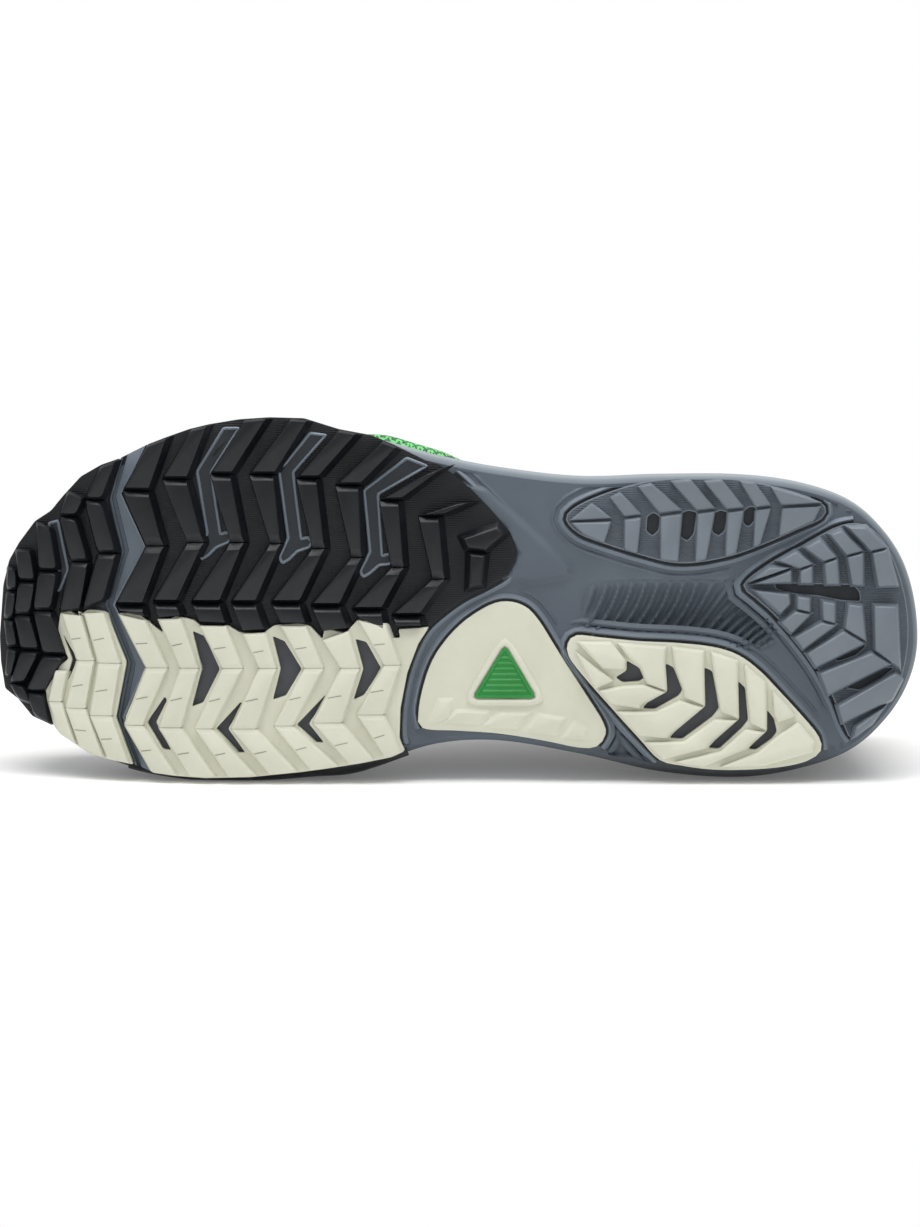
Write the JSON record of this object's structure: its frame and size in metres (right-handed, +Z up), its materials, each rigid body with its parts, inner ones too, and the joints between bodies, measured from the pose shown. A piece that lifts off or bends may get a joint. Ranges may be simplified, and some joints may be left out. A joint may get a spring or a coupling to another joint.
{
  "type": "trail running shoe",
  "caption": "Low-cut trail running shoe with a hollow lasted upper, thick foam midsole and separate chevron-lugged rubber pods, lying on its side.",
  "frame": {"origin": "middle of the shoe's box on the surface that it lies on", "axes": "+X from toe to heel, +Y from the sole to the foot's opening, +Z up through the lateral side; the shoe lies on its medial side"},
  "size_m": [0.303, 0.1274, 0.1167],
  "materials": {
    "foam": "moulded EVA foam, matt skin",
    "insole": "brushed textile over foam",
    "upper": "engineered mesh, matt",
    "overlay": "hot-melt film, satin",
    "laces": "flat woven polyester",
    "black_rubber": "moulded carbon rubber, satin",
    "pale_rubber": "moulded rubber, matt",
    "grey_rubber": "moulded rubber, satin",
    "green_rubber": "moulded rubber, satin"
  },
  "bodies": {
    "root": {"midsole": "foam", "insole": "insole", "upper": "upper", "tongue": "upper", "toe_cap": "overlay", "heel_counter": "overlay", "eyestay": "overlay", "laces": "laces", "outsole_toe": "black_rubber", "outsole_lateral": "black_rubber", "outsole_medial_front": "pale_rubber", "outsole_medial_rear": "pale_rubber", "outsole_waist": "pale_rubber", "waist_badge": "green_rubber", "outsole_heel_medial": "pale_rubber", "outsole_heel_lateral": "grey_rubber", "outsole_heel_rear": "grey_rubber"}
  },
  "joints": []
}
